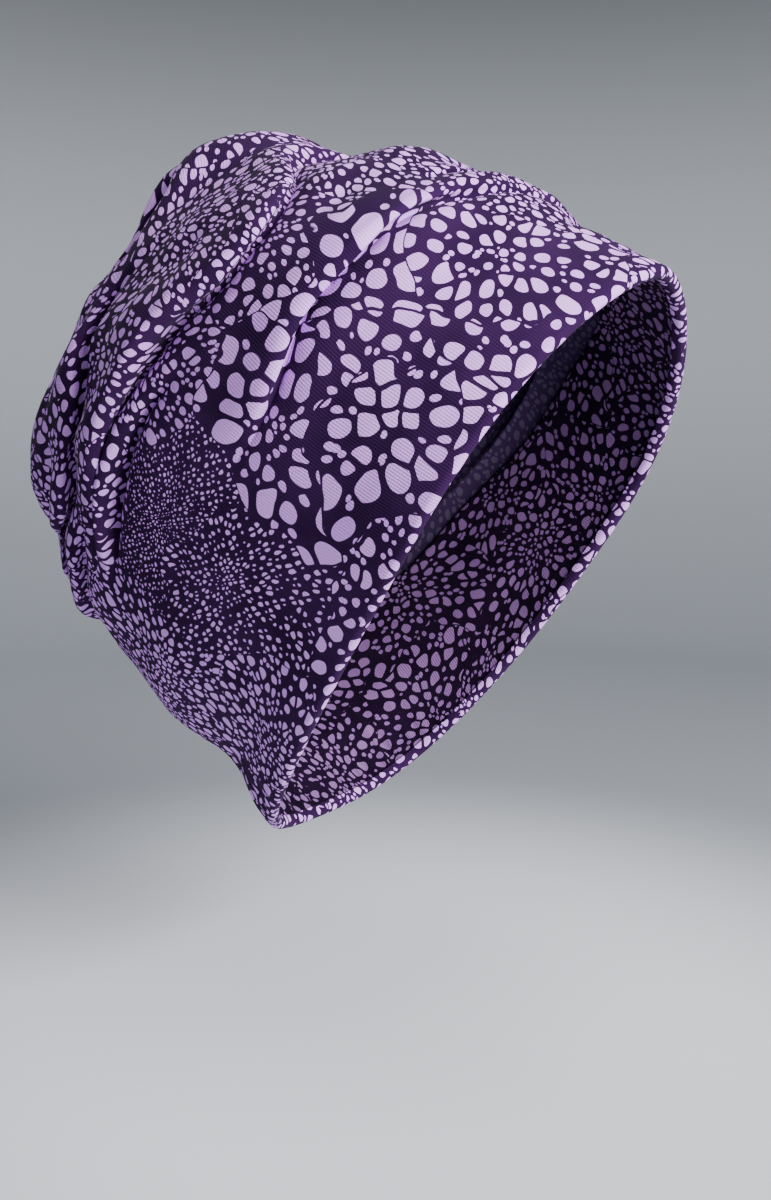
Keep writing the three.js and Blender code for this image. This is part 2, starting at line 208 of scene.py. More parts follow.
@dataclass
class CapForm:
    """The cloth's form as a function of the share along and the degrees around."""

    opening_length: float = 0.250
    cap_width: float = 0.174
    opening_forward: float = 0.026
    opening_drop: float = 0.120
    slouch_back: float = 0.136
    slouch_up: float = 0.098
    ear_bow: float = 0.0097
    fold_height: float = 0.0074
    pinch_depth: float = 0.0010
    gather_depth: float = 0.0024
    gathers: int = 9
    hem_share: float = 0.05
    active_strength: float = 0.4
    lip: float = 0.0032
    crest: float = 0.0060
    crest_share: float = 0.42
    roundness: float = 1.55
    tail: float = 0.0130
    tail_share: float = 0.55
    tuck: float = 0.0026
    tuck_reach: float = 0.0040
    overhang: float = 0.0040
    lean_fall: float = 0.75
    most_lean: float = 1.5
    least_lean: float = 0.3
    lean_room: float = 0.020
    hollow_shallow: float = 0.003
    hollow_deep: float = 0.0075
    pinch_along: float = 0.088
    pinch_reach: float = 0.045
    length_along: float = 0.212
    reach_around: float = 0.0017
    ripple_height: float = 0.00042
    ripple_count: int = 34
    ripple_seed: int = 19
    hem_pleats: int = 64
    hem_pleat_height: float = 0.0007
    hem_pleat_reach: float = 0.085
    feel: float = 0.004

    def ring(self, name: str, along: np.ndarray) -> np.ndarray:
        """Returns one column of the ring table at shares along."""
        return curve_through(RINGS[:, 0], RINGS[:, RING_COLUMNS.index(name)], along)

    def valley(self, fold: str, around: np.ndarray) -> tuple[np.ndarray, np.ndarray]:
        """Reads a fold's valley as a closed curve.

        Args:
            fold: Name of the fold.
            around: Degrees around.

        Returns:
            The valley's share along, and its strength.
        """
        rows = FOLDS[fold]
        angles = np.concatenate([rows[:, 0] + turn for turn in (-360, 0, 360)])
        along = curve_through(angles, np.tile(rows[:, 1], 3), around)
        strength = curve_through(angles, np.tile(rows[:, 2], 3), around)
        return along, np.maximum(0, strength)

    def valleys(self, around: np.ndarray) -> tuple[np.ndarray, np.ndarray]:
        """Returns all valleys' shares along and strengths, one row for each fold."""
        pairs = [self.valley(fold, around) for fold in FOLDS]
        return np.array([pair[0] for pair in pairs]), np.array([pair[1] for pair in pairs])

    def plain(self, along: np.ndarray, around: np.ndarray) -> np.ndarray:
        """Gives the cap without folds: a leaning oval ring for each share along.

        Args:
            along: Shares along.
            around: Degrees around.

        Returns:
            Points. A ring is an oval whose power differs front and back, tapered towards
            the nape, tilted by its slope and bowed over the ears near the rim.
        """
        angle = np.radians(around)
        front = np.cos(angle)
        side = -np.sin(angle)
        slope = np.radians(self.ring("slope", along))
        power = 2 / (self.ring("round", along) - self.ring("square", along) * front)
        run = np.sign(front) * np.abs(front) ** power
        run = run * 0.5 * self.opening_length * self.ring("length", along)
        across = np.sign(side) * np.abs(side) ** power
        across = across * 0.5 * self.cap_width * self.ring("width", along)
        bow = self.ear_bow * (1 - along) ** 4 * (1 - front**2)
        middle_y = self.slouch_back * self.ring("back", along) - self.opening_forward
        middle_z = self.slouch_up * self.ring("up", along) - self.opening_drop
        return np.stack([
            across * (1 + self.ring("taper", along) * front),
            middle_y - run * np.cos(slope) - bow * np.sin(slope),
            middle_z + run * np.sin(slope) - bow * np.cos(slope),
        ], axis=-1)

    def directions(self, along: np.ndarray, around: np.ndarray) -> tuple[np.ndarray, np.ndarray]:
        """Feels the plain form's directions with short steps both ways.

        Args:
            along: Shares along.
            around: Degrees around.

        Returns:
            Unit vectors outwards and lengthwise. Outwards is the cross product of the steps along
            and around.
        """
        low = np.maximum(0, along - self.feel)
        high = np.minimum(1, along + self.feel)
        lengthwise = unit(self.plain(high, around) - self.plain(low, around))
        crosswise = unit(self.plain(along, around + 1) - self.plain(along, around - 1))
        return unit(np.cross(lengthwise, crosswise)), lengthwise

    def folds(self, along: np.ndarray, around: np.ndarray) -> tuple[np.ndarray, np.ndarray]:
        """Gives the ring folds: each a narrow valley with a roll that hangs over it.

        Args:
            along: Shares along.
            around: Degrees around.

        Returns:
            Heights, and lengthwise shifts towards the closed end. On the rim's side of a
            valley the cloth dips late, as an exponential. Past the floor it climbs as a
            quarter sine to the roll's crest, which leans back over the valley, and then
            falls off as half a bell. A roll is narrower where the next active fold is near.
        """
        valleys, strengths = self.valleys(around)
        ahead = np.ones(valleys.shape)
        for row in range(len(valleys) - 2, -1, -1):
            near = np.clip(strengths[row + 1] / self.active_strength, 0, 1)
            ahead[row] = near * valleys[row + 1] + (1 - near) * ahead[row + 1]
        height = np.zeros(along.shape)
        shift = np.zeros(along.shape)
        for valley, after, strength in zip(valleys, ahead, strengths):
            room = (after - valley) * self.length_along
            crest = np.minimum(self.crest, self.crest_share * room)
            tail = np.minimum(self.tail, self.tail_share * (room - crest))
            run = (along - valley) * self.length_along
            top = self.roundness * crest
            climb = np.clip(run / top, 0, 1)
            dip = -np.exp(np.minimum(run, 0) / self.lip)
            past = np.maximum(run - top, 0) / tail
            roll = (2 * np.sin(0.5 * np.pi * climb) - 1) * np.exp(-(past**2))
            height += 0.5 * self.fold_height * strength * np.where(run < 0, dip, roll)
            tuck = self.tuck * np.exp(-((np.minimum(run, 0) / self.tuck_reach) ** 2))
            sweep = smooth_step(0, 1, run / crest)
            past = np.maximum(run - crest, 0) / tail
            lean = self.tuck - (self.tuck + self.overhang) * sweep
            lean = lean * np.exp(-((self.lean_fall * past) ** 2))
            scale = np.minimum(strength, self.most_lean)
            scale = scale * np.clip(room / self.lean_room, self.least_lean, 1.0)
            shift += scale * np.where(run < 0, tuck, lean)
        return height, shift * (1 - smooth_step(0.94, 1.0, along))

    def swell(self, along: np.ndarray, around: np.ndarray) -> np.ndarray:
        """Adds up the swells.

        Args:
            along: Shares along.
            around: Degrees around.

        Returns:
            Heights: each swell falls off as a bell from its middle.
        """
        total = np.zeros(along.shape)
        for middle, turn, reach, spread, height in SWELLS.values():
            apart = ((along - middle) / reach) ** 2
            apart = apart + (turn_between(around, turn) / spread) ** 2
            total += self.fold_height * height * np.exp(-apart)
        return total

    def creases(self, along: np.ndarray, around: np.ndarray) -> np.ndarray:
        """Adds up the short creases.

        Args:
            along: Shares along.
            around: Degrees around.

        Returns:
            Depths: a bell of the distance from each crease's line, which rounds its ends off.
        """
        total = np.zeros(along.shape)
        for start, first, end, last, depth, width in CREASES.values():
            run = np.array([(end - start) * self.length_along, (last - first) * self.reach_around])
            x = (along - start) * self.length_along
            y = turn_between(around, first) * self.reach_around
            share = (x * run[0] + y * run[1]) / (run @ run)
            inside = np.clip(share, 0, 1)
            apart = np.hypot(x - inside * run[0], y - inside * run[1])
            total += depth * np.exp(-((apart / width) ** 2))
        return total

    def ripples(self, along: np.ndarray, around: np.ndarray) -> np.ndarray:
        """Gives the cloth's small unevenness.

        Args:
            along: Shares along.
            around: Degrees around.

        Returns:
            Heights: a seeded sum of sine waves whose crests run mostly around the cap, each
            bent by a slower wave, stronger in the slack cloth than near the rim.
        """
        draw = np.random.default_rng(self.ripple_seed)
        angle = np.radians(around)
        total = np.zeros(along.shape)
        for _ in range(self.ripple_count):
            turns = draw.integers(1, 9)
            waves = draw.uniform(4, 20)
            phase, bend, shift = draw.uniform(0, 2 * np.pi, 3)
            bent = along + 0.025 * np.sin(turns * angle + bend)
            total += np.sin(turns * angle + 2 * np.pi * waves * bent + phase) / math.sqrt(waves)
            total += 0.4 * np.sin((turns + 6) * angle - 2 * np.pi * waves * 0.4 * along + shift)
        spread = self.ripple_height * 4 / math.sqrt(self.ripple_count)
        slack = 0.22 + 0.78 * smooth_step(0.26, 0.48, along)
        return spread * total * slack * (1 - smooth_step(0.93, 1.0, along))

    def hem_pleating(self, along: np.ndarray, around: np.ndarray) -> np.ndarray:
        """Gives the fine pleats that run in from the rim where the nape is drawn in.

        Args:
            along: Shares along.
            around: Degrees around.

        Returns:
            Heights: two sine waves around, faded out along and towards the brow.
        """
        nape = smooth_step(112, 150, np.abs(turn_between(around, 0)))
        angle = np.radians(around)
        wave = np.sin(self.hem_pleats * angle + 1.7 * np.sin(5 * angle))
        wave = wave + 0.5 * np.sin(self.hem_pleats * 1.63 * angle + 2.1)
        fade = np.exp(-((along / self.hem_pleat_reach) ** 2)) * smooth_step(0.0, 0.02, along)
        return self.hem_pleat_height * nape * wave * fade

    def relief(self, along: np.ndarray, around: np.ndarray) -> tuple[np.ndarray, np.ndarray]:
        """Adds up the cloth's forms over the plain form.

        Args:
            along: Shares along.
            around: Degrees around.

        Returns:
            Heights, faded in from the rim, and lengthwise shifts, which fade out in the deep
            hollows so that a roll doesn't run through itself there.
        """
        pull = smooth_step(118, 150, np.abs(turn_between(around, 0)))
        pinch = np.exp(-(((along - self.pinch_along) / self.pinch_reach) ** 2))
        pinch = self.pinch_depth * pull * pinch
        height, shift = self.folds(along, around)
        swell = self.swell(along, around)
        shift = shift * (1 - smooth_step(self.hollow_shallow, self.hollow_deep, -swell))
        height = height + swell - pinch
        height = height - self.creases(along, around) + self.ripples(along, around)
        rise = smooth_step(0.88, 0.955, along) * (1 - smooth_step(0.955, 1, along))
        gather = 0.5 * self.gather_depth * np.cos(np.radians(self.gathers * around)) * rise
        height = height * smooth_step(0, self.hem_share, along) + gather
        return height + self.hem_pleating(along, around), shift

    def cloth(self, along: np.ndarray, around: np.ndarray) -> np.ndarray:
        """Gives the cloth's outer face.

        Args:
            along: Shares along.
            around: Degrees around.

        Returns:
            Points of the plain form, moved outwards by the height and lengthwise by the shift.
        """
        outward, lengthwise = self.directions(along, around)
        height, shift = self.relief(along, around)
        plain = self.plain(along, around)
        return plain + outward * height[..., None] + lengthwise * shift[..., None]

    def rim(self, around: np.ndarray, depth: np.ndarray, height: np.ndarray) -> np.ndarray:
        """Gives points near the rim.

        Args:
            around: Degrees around.
            depth: Depths under the outer face.
            height: Heights above the rim.

        Returns:
            Points: the rim's own, moved inwards and lengthwise.
        """
        outward, lengthwise = self.directions(np.zeros(around.shape), around)
        base = self.cloth(np.zeros(around.shape), around)
        return base - outward * depth[..., None] + lengthwise * height[..., None]


def grid_normals(points: np.ndarray) -> np.ndarray:
    """Gives the outward normals of a grid of points that closes around.

    Args:
        points: Rows from the rim to the closed end, columns around.

    Returns:
        Unit normals: the cross product of the lengthwise and crosswise differences.
    """
    lengthwise = np.gradient(points, axis=0)
    crosswise = np.roll(points, -1, axis=1) - np.roll(points, 1, axis=1)
    return unit(np.cross(lengthwise, crosswise))


@dataclass
class Surface:
    """A grid mesh that closes around, gathered row by row, with its print coordinates."""

    name: str

    def make(
        self,
        points: np.ndarray,
        prints: np.ndarray,
        finishes: list,
        finish_rows: np.ndarray,
        poles: bool,
        is_loop: bool,
    ) -> bpy.types.Object:
        """Builds the mesh of quads between neighbouring rows and columns.

        Args:
            points: Rows by columns of points, ordered so that faces point outwards.
            prints: Print coordinates of each row of faces at its four corners, as an array
                of faces by columns by corners by 2.
            finishes: Materials of the mesh.
            finish_rows: Material number of each row of faces.
            poles: Whether the first and last row close at their middles.
            is_loop: Whether the last row joins the first.

        Returns:
            The object, at the origin.
        """
        rows, columns = points.shape[:2]
        row = np.arange(rows if is_loop else rows - 1)[:, None]
        column = np.arange(columns)[None, :]
        ahead = (column + 1) % columns
        above = (row + 1) % rows
        quads = np.stack(np.broadcast_arrays(
            row * columns + column,
            above * columns + column,
            above * columns + ahead,
            row * columns + ahead,
        ), axis=-1).reshape(-1, 4)
        vertices = points.reshape(-1, 3)
        corner_prints = prints.reshape(-1, 2)
        loops = quads.reshape(-1)
        totals = np.full(len(quads), 4)
        slots = np.repeat(finish_rows, columns)
        if poles:
            ends = np.array([points[0].mean(axis=0), points[-1].mean(axis=0)])
            vertices = np.concatenate([vertices, ends])
            ring = np.arange(columns)
            after = (ring + 1) % columns
            last = (rows - 1) * columns
            first_fan = np.stack([np.full(columns, rows * columns), ring, after], axis=-1)
            last_fan = np.stack(
                [np.full(columns, rows * columns + 1), last + after, last + ring], axis=-1
            )
            loops = np.concatenate([loops, first_fan.reshape(-1), last_fan.reshape(-1)])
            totals = np.concatenate([totals, np.full(2 * columns, 3)])
            first_middle = prints[0, :, 0].mean(axis=0)
            last_middle = prints[-1, :, 1].mean(axis=0)
            first = np.stack([
                np.broadcast_to(first_middle, (columns, 2)),
                prints[0, :, 0],
                prints[0, :, 3],
            ], axis=1)
            final = np.stack([
                np.broadcast_to(last_middle, (columns, 2)),
                prints[-1, :, 2],
                prints[-1, :, 1],
            ], axis=1)
            corner_prints = np.concatenate(
                [corner_prints, first.reshape(-1, 2), final.reshape(-1, 2)]
            )
            slots = np.concatenate([
                slots,
                np.full(columns, finish_rows[0]),
                np.full(columns, finish_rows[-1]),
            ])
        mesh = bpy.data.meshes.new(self.name)
        mesh.vertices.add(len(vertices))
        mesh.vertices.foreach_set("co", vertices.astype(np.float32).reshape(-1))
        mesh.loops.add(len(loops))
        mesh.loops.foreach_set("vertex_index", loops.astype(np.int32))
        mesh.polygons.add(len(totals))
        starts = np.concatenate([[0], np.cumsum(totals)[:-1]])
        mesh.polygons.foreach_set("loop_start", starts.astype(np.int32))
        mesh.polygons.foreach_set("loop_total", totals.astype(np.int32))
        mesh.polygons.foreach_set("material_index", slots.astype(np.int32))
        mesh.polygons.foreach_set("use_smooth", np.ones(len(totals), bool))
        layer = mesh.uv_layers.new(name="print")
        layer.data.foreach_set("uv", corner_prints.astype(np.float32).reshape(-1))
        for finish in finishes:
            mesh.materials.append(finish)
        mesh.update(calc_edges=True)
        mesh.validate()
        piece = bpy.data.objects.new(self.name, mesh)
        bpy.context.scene.collection.objects.link(piece)
        return piece


@dataclass
class PrintChart:
    """Lays the cloth's print flat in metres, so that its marks keep their real size.

    The band from the rim to the main fold is one chart and the crown is another; their
    border lies in the main fold, where cut marks don't show.
    """

    form: CapForm
    crown_scale: float = 0.84
    grain_at: float = 75.0
    crown_offset: tuple[float, float] = (2.0, 0.0)
    ring_along: float = 0.25
    evening_rounds: int = 12

    def around(self, degrees: np.ndarray) -> np.ndarray:
        """Measures along the worn band.

        Args:
            degrees: Degrees around.

        Returns:
            Length around the band from the brow to each angle.
        """
        turns = np.linspace(-180, 180, 721)
        ring = self.form.plain(np.full(turns.shape, self.ring_along), turns)
        run = np.concatenate([[0], np.cumsum(np.linalg.norm(np.diff(ring, axis=0), axis=1))])
        middle = np.interp(0, turns, run)
        return np.interp(degrees, turns, run - middle)

    def girth(self) -> float:
        """Returns the length around the worn band."""
        ends = self.around(np.array([-180.0, 180.0]))
        return float(ends[1] - ends[0])

    def lengths(self, points: np.ndarray) -> np.ndarray:
        """Gives the length of cloth from the first row to each row.

        Args:
            points: Rows by columns of points.

        Returns:
            Lengths, evened out a little between neighbouring columns so that the print
            doesn't shear.
        """
        steps = np.linalg.norm(np.diff(points, axis=0), axis=2)
        run = np.concatenate([np.zeros((1, points.shape[1])), np.cumsum(steps, axis=0)])
        for _ in range(self.evening_rounds):
            run = 0.5 * run + 0.25 * (np.roll(run, 1, axis=1) + np.roll(run, -1, axis=1))
        return run

    def band(self, points: np.ndarray, degrees: np.ndarray) -> np.ndarray:
        """Gives the band chart, flat strips side by side.

        Args:
            points: Rows by columns of points.
            degrees: Angle of each column.

        Returns:
            Length around and length along of each row and column, with a last column for the
            seam.
        """
        run = self.lengths(points)
        run = np.concatenate([run, run[:, :1]], axis=1)
        across = self.around(np.append(degrees, degrees[0] + 360))
        return np.stack([np.broadcast_to(across, run.shape), run], axis=-1)

    def crown(self, points: np.ndarray, degrees: np.ndarray) -> np.ndarray:
        """Gives the crown chart, a flat disc round the closed end.

        Args:
            points: Rows by columns of points.
            degrees: Angle of each column.

        Returns:
            Chart of each row and column with a last column for the seam. The distance from
            the middle grows by its own share where the ring's own radius grows by the
            length of cloth, so that marks keep their shape.
        """
        pole = points[-1].mean(axis=0)
        start = np.linalg.norm(points[-1] - pole, axis=1)
        run = self.lengths(points[::-1])[::-1] + start
        mean_run = run.mean(axis=1)
        ring = np.linalg.norm(np.roll(points, -1, axis=1) - points, axis=2).sum(axis=1)
        radius = ring / (2 * np.pi)
        step = np.diff(mean_run[::-1])
        mean_radius = 0.5 * (radius[::-1][1:] + radius[::-1][:-1])
        growth = np.concatenate([[0], np.cumsum(step / np.maximum(mean_radius, 1e-5))])[::-1]
        chart = mean_run[-1] * np.exp(growth)
        reach = self.crown_scale * chart[:, None] * run / mean_run[:, None]
        reach = np.concatenate([reach, reach[:, :1]], axis=1)
        across = self.around(np.append(degrees, degrees[0] + 360))
        grain = self.around(np.array([self.grain_at]))[0]
        turn = (across - grain) * 2 * np.pi / self.girth()
        return np.stack([
            self.crown_offset[0] + reach * np.sin(turn),
            self.crown_offset[1] - reach * np.cos(turn),
        ], axis=-1)

    @staticmethod
    def corners(chart: np.ndarray) -> np.ndarray:
        """Reads a chart at the corners of each face between rows and columns.

        Args:
            chart: Chart of each row and column, with a last column for the seam.

        Returns:
            Faces by columns by four corners by 2.
        """
        return np.stack(
            [chart[:-1, :-1], chart[1:, :-1], chart[1:, 1:], chart[:-1, 1:]], axis=2
        )


class Wire:
    """A shader socket that takes part in sums, products and powers."""

    def __init__(self, book: "NodeBook", socket: bpy.types.NodeSocket) -> None:
        """Keeps the socket and the book that adds nodes for it."""
        self.book = book
        self.socket = socket

    def _math(self, operation: str, first: object, second: object = None) -> "Wire":
        """Adds one Math node.

        Args:
            operation: Its operation.
            first: First value or wire.
            second: Second one, where it has one.

        Returns:
            The node's result.
        """
        values = {0: first}
        if second is not None:
            values[1] = second
        return self.book.node("ShaderNodeMath", {"operation": operation}, values)[0]

    def __add__(self, other: object) -> "Wire":
        """Returns self plus other."""
        return self._math("ADD", self, other)

    def __radd__(self, other: object) -> "Wire":
        """Returns other plus self."""
        return self._math("ADD", other, self)

    def __sub__(self, other: object) -> "Wire":
        """Returns self minus other."""
        return self._math("SUBTRACT", self, other)

    def __rsub__(self, other: object) -> "Wire":
        """Returns other minus self."""
        return self._math("SUBTRACT", other, self)

    def __mul__(self, other: object) -> "Wire":
        """Returns self times other."""
        return self._math("MULTIPLY", self, other)

    def __rmul__(self, other: object) -> "Wire":
        """Returns other times self."""
        return self._math("MULTIPLY", other, self)

    def __truediv__(self, other: object) -> "Wire":
        """Returns self divided by other."""
        return self._math("DIVIDE", self, other)

    def __rtruediv__(self, other: object) -> "Wire":
        """Returns other divided by self."""
        return self._math("DIVIDE", other, self)

    def __pow__(self, other: object) -> "Wire":
        """Returns self to the power of other."""
        return self._math("POWER", self, other)

    def sine(self) -> "Wire":
        """Returns the sine of self."""
        return self._math("SINE", self)

    def above(self, limit: object) -> "Wire":
        """Returns 1 where self is over the limit, otherwise 0."""
        return self._math("GREATER_THAN", self, limit)

    def soft(self, low: float, high: float) -> "Wire":
        """Adds a smooth step of self.

        Args:
            low: Where it starts to rise from 0.
            high: Where it reaches 1.

        Returns:
            The step, from 0 to 1.
        """
        settings = {"interpolation_type": "SMOOTHSTEP"}
        values = {"Value": self, "From Min": low, "From Max": high}
        return self.book.node("ShaderNodeMapRange", settings, values)["Result"]


class Outputs:
    """The outputs of one node, read by name or place."""

    def __init__(self, book: "NodeBook", node: bpy.types.Node) -> None:
        """Keeps the node and its book."""
        self.book = book
        self.node = node

    def __getitem__(self, key: object) -> Wire:
        """Returns one output."""
        return Wire(self.book, self.node.outputs[key])


class NodeBook:
    """Adds the nodes of one material."""

    def __init__(self, name: str) -> None:
        """Starts an empty material.

        Args:
            name: Name of the material.
        """
        self.material = bpy.data.materials.new(name)
        self.material.use_nodes = True
        self.tree = self.material.node_tree
        self.tree.nodes.clear()

    def node(self, kind: str, settings: dict, values: dict) -> Outputs:
        """Adds a node.

        Args:
            kind: Type of the node.
            settings: Its own settings, set before its sockets.
            values: Value or link of each socket, by name or place.

        Returns:
            The node's outputs.
        """
        node = self.tree.nodes.new(kind)
        for name, value in settings.items():
            setattr(node, name, value)
        for key, value in values.items():
            socket = node.inputs[key]
            if isinstance(value, Wire):
                self.tree.links.new(value.socket, socket)
            else:
                socket.default_value = value
        return Outputs(self, node)

    def vector(self, operation: str, *values: object) -> Wire:
        """Returns the vector result of a Vector Math node."""
        entries = dict(enumerate(values))
        return self.node("ShaderNodeVectorMath", {"operation": operation}, entries)[0]

    def lower(self, first: Wire, second: Wire) -> Wire:
        """Returns the lower of two numbers."""
        return self.node("ShaderNodeMath", {"operation": "MINIMUM"}, {0: first, 1: second})[0]

    def higher(self, first: Wire, second: Wire) -> Wire:
        """Returns the higher of two numbers."""
        return self.node("ShaderNodeMath", {"operation": "MAXIMUM"}, {0: first, 1: second})[0]

    def soft_lower(self, first: Wire, second: Wire, reach: float) -> Wire:
        """Returns the lower of two numbers, rounded off where they differ by under reach."""
        values = {0: first, 1: second, 2: reach}
        return self.node("ShaderNodeMath", {"operation": "SMOOTH_MIN"}, values)[0]

    def length(self, value: Wire) -> Wire:
        """Returns a vector's length."""
        return self.node("ShaderNodeVectorMath", {"operation": "LENGTH"}, {0: value})["Value"]

    def scaled(self, value: Wire, factor: object) -> Wire:
        """Returns a vector times a number."""
        settings = {"operation": "SCALE"}
        return self.node("ShaderNodeVectorMath", settings, {0: value, "Scale": factor})[0]

    def blend(self, share: object, first: object, second: object) -> Wire:
        """Returns a colour between first and second."""
        settings = {"data_type": "RGBA", "blend_type": "MIX"}
        return self.node("ShaderNodeMix", settings, {0: share, 6: first, 7: second})[2]

    def parts(self, value: Wire) -> Outputs:
        """Returns a vector's X, Y and Z."""
        return self.node("ShaderNodeSeparateXYZ", {}, {"Vector": value})

    def joined(self, x: object, y: object, z: object) -> Wire:
        """Returns a vector of three numbers."""
        return self.node("ShaderNodeCombineXYZ", {}, {"X": x, "Y": y, "Z": z})[0]

    def noise(self, place: Wire, scale: float, detail: float, colour: bool = False) -> Wire:
        """Adds flat noise.

        Args:
            place: Where it is read.
            scale: Waves per unit.
            detail: Finer waves added to it.
            colour: Whether three numbers are wanted.

        Returns:
            The noise, as a number or as a colour.
        """
        values = {"Vector": place, "Scale": scale, "Detail": detail}
        settings = {"noise_dimensions": "2D"}
        node = self.node("ShaderNodeTexNoise", settings, values)
        return node["Color" if colour else "Fac"]

    def cells(self, feature: str, place: Wire, scale: object, **values: object) -> Outputs:
        """Adds a flat cell texture.

        Args:
            feature: What it measures.
            place: Where it is read.
            scale: Cells per unit.
            **values: Its other sockets.

        Returns:
            The texture's outputs.
        """
        settings = {"voronoi_dimensions": "2D", "feature": feature}
        sockets = {"Vector": place, "Scale": scale, **values}
        return self.node("ShaderNodeTexVoronoi", settings, sockets)


class Side(Enum):
    """Which face of the jersey is seen."""

    RIGHT = "right side"
    WRONG = "wrong side"


Colour = tuple[float, float, float, float]

# Middle of a colour noise, taken off it to make a drift both ways.
MID_GREY = (0.5, 0.5, 0.5)
# Soft edge of a pebble, in fine cells.
PEBBLE_EDGE = (-0.006, 0.012)
# Distances over which the front's large pebbles and the side's tiny ones fade out, in metres.
FRONT_REACH = (0.025, 0.075)
SIDE_REACH = (0.020, 0.045)


@dataclass(frozen=True)
class PebblePrint:
    """A printed jersey: patches of rounded pebbles, cut at their borders, on a dark ground."""

    name: str
    side: Side = Side.RIGHT
    ground: Colour = (0.022, 0.0055, 0.040, 1.0)
    ground_light: Colour = (0.034, 0.0090, 0.058, 1.0)
    pebble: Colour = (0.700, 0.325, 0.980, 1.0)
    pebble_light: Colour = (0.800, 0.410, 1.000, 1.0)
    # Painted shade: a factor below 1 darkens the whole colour to stand for shade, as on the facing
    # inside the rim.
    painted_shade_factor: float = 1.0
    wrong_ground: Colour = (0.050, 0.026, 0.085, 1.0)
    wrong_pebble: Colour = (0.120, 0.085, 0.165, 1.0)
    patch_size: float = 0.052
    patch_drift: float = 0.042
    patch_stretch: float = 0.30
    middle_room: float = 0.003
    outward_growth: float = -0.28
    small: float = 0.0042
    medium: float = 0.0068
    tiny: float = 0.0020
    large: float = 0.0108
    rare_share: float = 0.93
    rare_growth: float = 0.4
    front_middle: tuple[float, float, float] = (0.095, 0.055, 0.0)
    side_middle: tuple[float, float, float] = (0.195, 0.075, 0.0)
    scatter: float = 0.76
    wobble: float = 0.34
    least: float = 0.080
    spread: float = 0.28
    size_growth: float = 19.0
    rounding: float = 0.24
    gap: float = 0.060
    gap_width: float = 0.00019
    gap_spread: float = 0.02
    border_gap: float = 0.45
    border_rounding: float = 0.05
    filler: float = 2.4
    filler_scatter: float = 0.9
    filler_gap: float = 1.4
    filler_most: float = 0.36
    filler_least: float = 0.035
    filler_least_width: float = 0.00040
    filler_drop: float = 9.0
    wale: float = 0.0010
    course: float = 0.0009
    roughness: float = 0.9
    sheen: float = 0.02
    sheen_roughness: float = 0.5
    specular: float = 0.06
    knit_bump: float = 0.35
    knit_height: float = 0.0004

    def make(self) -> bpy.types.Material:
        """Builds the material.

        Returns:
            The material, a matte cloth whose colour comes from the pebbles and whose bump
            comes from the knit.
        """
        book = NodeBook(self.name)
        place = book.node("ShaderNodeUVMap", {"uv_map": "print"}, {})["UV"]
        mask, shade = self.pebbles(book, place)
        colour, rough = self.colours(book, place, mask, shade)
        height = self.knit(book, place)
        bump = book.node("ShaderNodeBump", {}, {
            "Strength": self.knit_bump,
            "Distance": self.knit_height,
            "Height": height,
        })["Normal"]
        surface = book.node("ShaderNodeBsdfPrincipled", {}, {
            "Base Color": colour,
            "Roughness": rough,
            "Normal": bump,
            "Sheen Weight": self.sheen,
            "Sheen Roughness": self.sheen_roughness,
            "Specular IOR Level": self.specular,
        })[0]
        book.node("ShaderNodeOutputMaterial", {}, {"Surface": surface})
        return book.material

    def pebbles(self, book: NodeBook, place: Wire) -> tuple[Wire, Wire]:
        """Draws the print.

        Args:
            book: The material's nodes.
            place: Print coordinates in metres.

        Returns:
            The pebbles' mask, and a random number for each pebble. Patches are cells of a
            drifting flat cell texture. Each turns, stretches and sizes its own finer cells,
            which grow from its middle outwards. A pebble is a dot at a fine cell's middle,
            rounded off where it nears the next cell. Fillers are dots of a finer texture
            that fit in the ground between the pebbles. All are cut at the patch's border.
        """
        patches, border = self.patches(book, place)
        middle = patches["Position"]
        draws = book.parts(patches["Color"])
        size = self.sizes(book, middle, draws)
        spread, grade = self.patch_cells(book, place, middle, draws, size)
        near = book.cells("F1", spread, 1.0, Randomness=self.scatter)
        pick = book.parts(near["Color"])
        gap = self.gap + self.gap_width / size + self.gap_spread * draws[1]
        edge = book.cells("DISTANCE_TO_EDGE", spread, 1.0, Randomness=self.scatter)
        round_dot = self.radius(pick, size) - near["Distance"]
        room = book.soft_lower(round_dot, edge["Distance"] - gap, self.rounding)
        room = book.higher(room, self.fillers(book, spread, size, gap))
        cut = border["Distance"] * self.patch_size * grade - gap * self.border_gap
        room = book.soft_lower(room, cut, self.border_rounding)
        return room.soft(*PEBBLE_EDGE), pick[2]

    def patches(self, book: NodeBook, place: Wire) -> tuple[Outputs, Outputs]:
        """Lays out the patches, whose borders drift with a slow noise.

        Args:
            book: The material's nodes.
            place: Print coordinates in metres.

        Returns:
            The patches' cells, and the distance to their borders.
        """
        drift = book.noise(place, 24.0, 2.5, colour=True)
        drift = book.vector("SUBTRACT", drift, MID_GREY)
        warped = book.vector("ADD", place, book.scaled(drift, self.patch_drift))
        patches = book.cells("F1", warped, 1 / self.patch_size, Randomness=1.0)
        border = book.cells("DISTANCE_TO_EDGE", warped, 1 / self.patch_size, Randomness=1.0)
        return patches, border

